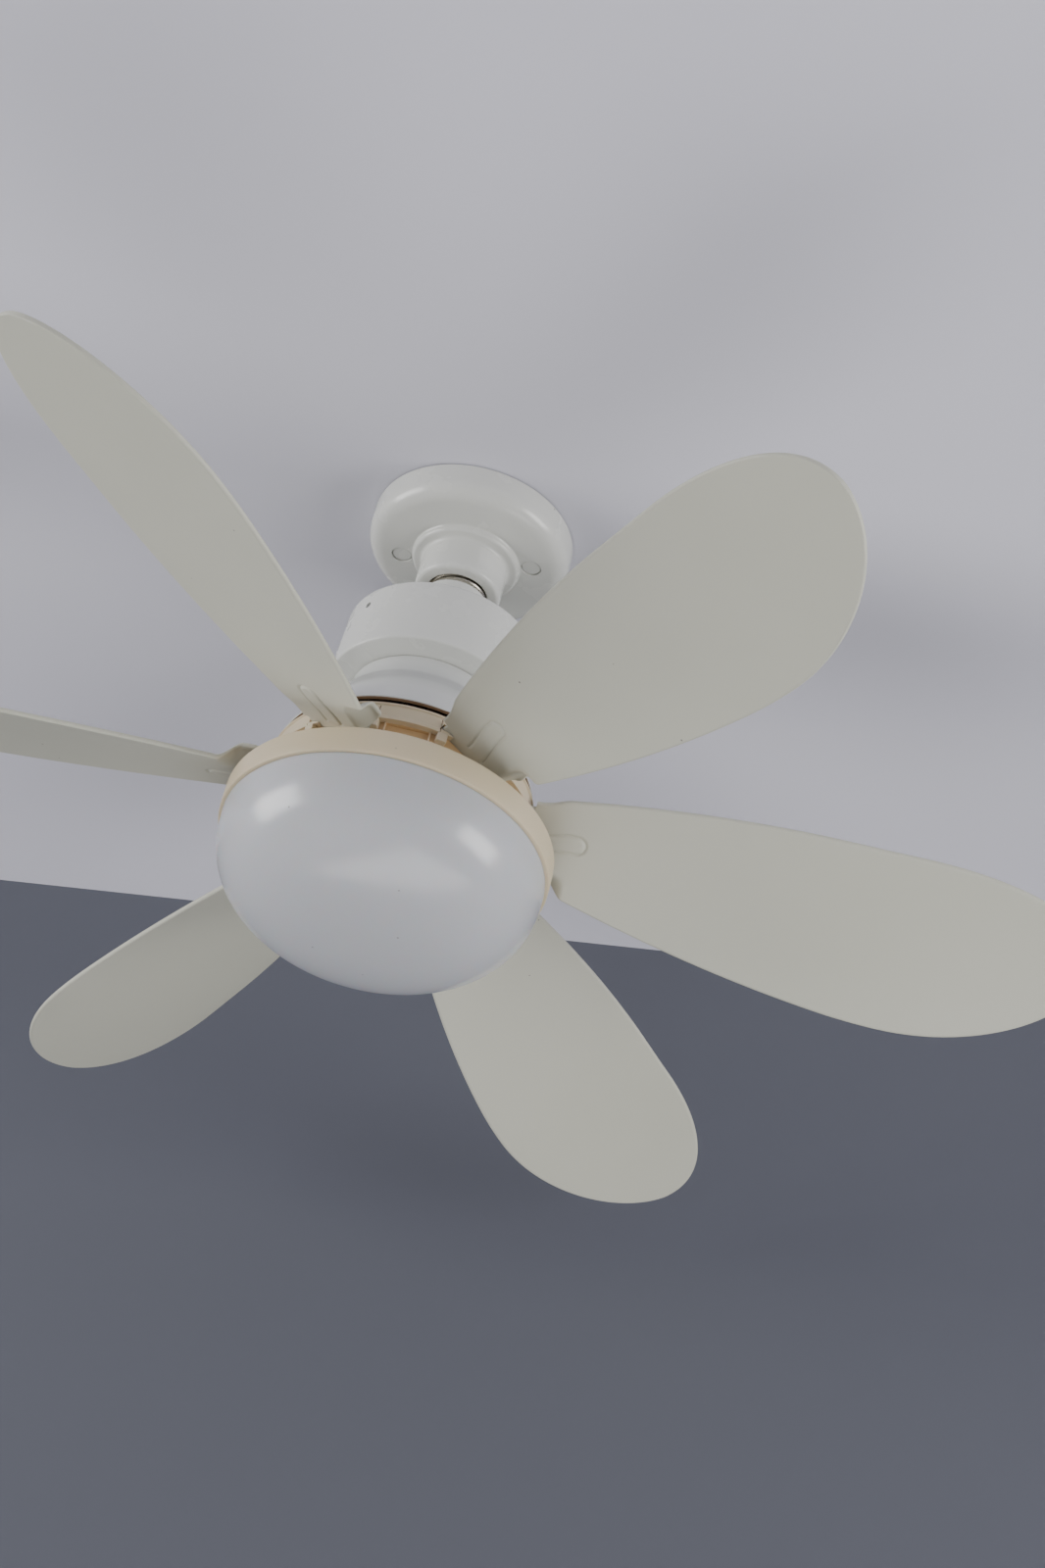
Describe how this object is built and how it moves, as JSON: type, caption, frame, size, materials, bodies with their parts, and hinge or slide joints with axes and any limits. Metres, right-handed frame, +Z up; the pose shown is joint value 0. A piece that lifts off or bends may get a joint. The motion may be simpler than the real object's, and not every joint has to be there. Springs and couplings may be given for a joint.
{
  "type": "ceiling fan with light",
  "caption": "Ceiling fan and bowl light in one unit that screws into a surface-mounted lampholder, with plug-in blades on a spinning hub.",
  "frame": {"origin": "centre of the lampholder's flat face on the ceiling", "axes": "+Z up into the ceiling, along the axis that the rotor spins about; +X is close to the first blade"},
  "size_m": [0.5856, 0.5446, 0.2263],
  "materials": {
    "white_plastic": "semi-gloss off-white moulding",
    "blade_plastic": "matte ivory-white, very fine grain",
    "cream_plastic": "satin cream, slightly yellowed",
    "opal_plastic": "glossy translucent opal white",
    "ceramic": "matte white",
    "phenolic": "matte black",
    "nickel": "bright nickel plate",
    "brass": "plain brass",
    "steel": "zinc-plated steel",
    "laminated_steel": "stacked laminations",
    "enamelled_copper": "enamelled copper wire",
    "magnet": "dark ferrite",
    "circuit_board": "green solder mask",
    "aluminium": "plain sheet",
    "led_board_white": "white solder mask on aluminium"
  },
  "bodies": {
    "lampholder": {"holder_cover": "white_plastic", "holder_backplate": "phenolic", "ceiling_screw_1": "steel", "ceiling_screw_2": "steel", "screw_cap_1": "white_plastic", "screw_cap_2": "white_plastic", "socket_insert": "ceramic", "terminal_screw_1": "brass", "terminal_screw_2": "brass", "socket_shell": "nickel", "centre_contact": "brass"},
    "cap_tip": {"cap_contact": "nickel"},
    "fan_body": {"cap_insulator": "phenolic", "cap_shell": "nickel", "pedestal_lid": "white_plastic", "drum_shell": "white_plastic", "lid_screw_1": "steel", "lid_screw_2": "steel", "lid_screw_3": "steel", "driver_board": "circuit_board", "board_screw_1": "steel", "board_screw_2": "steel", "board_screw_3": "steel", "transformer": "phenolic", "capacitor": "magnet", "motor_cover": "white_plastic", "motor_shaft": "steel", "retaining_ring": "steel", "upper_shaft_nut": "steel", "lower_shaft_nut": "steel", "stator_core": "laminated_steel", "winding_upper": "enamelled_copper", "winding_lower": "enamelled_copper", "lamp_ring": "cream_plastic", "heat_plate": "aluminium", "led_board": "led_board_white", "led_screw_1": "steel", "led_screw_2": "steel", "led_screw_3": "steel"},
    "rotor": {"rotor_hub": "cream_plastic", "rotor_cover": "cream_plastic", "rotor_can": "steel", "magnet_ring": "magnet", "upper_bearing": "steel", "lower_bearing": "steel", "hub_screw_1": "steel", "hub_screw_2": "steel", "hub_screw_3": "steel"},
    "blade_1_body": {"blade_1": "blade_plastic"},
    "blade_2_body": {"blade_2": "blade_plastic"},
    "blade_3_body": {"blade_3": "blade_plastic"},
    "blade_4_body": {"blade_4": "blade_plastic"},
    "blade_5_body": {"blade_5": "blade_plastic"},
    "blade_6_body": {"blade_6": "blade_plastic"},
    "bowl": {"diffuser": "opal_plastic"}
  },
  "joints": [
    {"name": "cap_travel", "type": "slide", "parent": "lampholder", "child": "cap_tip", "axis": [0, 0, -1], "range_m": [0, 0.0182]},
    {"name": "cap_turn", "type": "hinge", "parent": "cap_tip", "child": "fan_body", "pos_m": [0, 0, -0.04], "axis": [0, 0, -1], "range_deg": [0, 1800]},
    {"name": "rotor_spin", "type": "hinge", "parent": "fan_body", "child": "rotor", "pos_m": [0, 0, -0.155], "axis": [0, 0, 1], "continuous": true},
    {"name": "blade_1_pull", "type": "slide", "parent": "rotor", "child": "blade_1_body", "axis": [0.9968, -0.0802, 0], "range_m": [0, 0.025]},
    {"name": "blade_2_pull", "type": "slide", "parent": "rotor", "child": "blade_2_body", "axis": [0.5678, 0.8231, 0], "range_m": [0, 0.025]},
    {"name": "blade_3_pull", "type": "slide", "parent": "rotor", "child": "blade_3_body", "axis": [-0.4289, 0.9033, 0], "range_m": [0, 0.025]},
    {"name": "blade_4_pull", "type": "slide", "parent": "rotor", "child": "blade_4_body", "axis": [-0.9968, 0.0802, 0], "range_m": [0, 0.025]},
    {"name": "blade_5_pull", "type": "slide", "parent": "rotor", "child": "blade_5_body", "axis": [-0.5678, -0.8231, 0], "range_m": [0, 0.025]},
    {"name": "blade_6_pull", "type": "slide", "parent": "rotor", "child": "blade_6_body", "axis": [0.4289, -0.9033, 0], "range_m": [0, 0.025]},
    {"name": "bowl_pull", "type": "slide", "parent": "fan_body", "child": "bowl", "axis": [0, 0, -1], "range_m": [0, 0.05]}
  ],
  "couplings": [
    {"joint": "cap_travel", "follows": "cap_turn", "m_per_rad": 0.00057757}
  ]
}
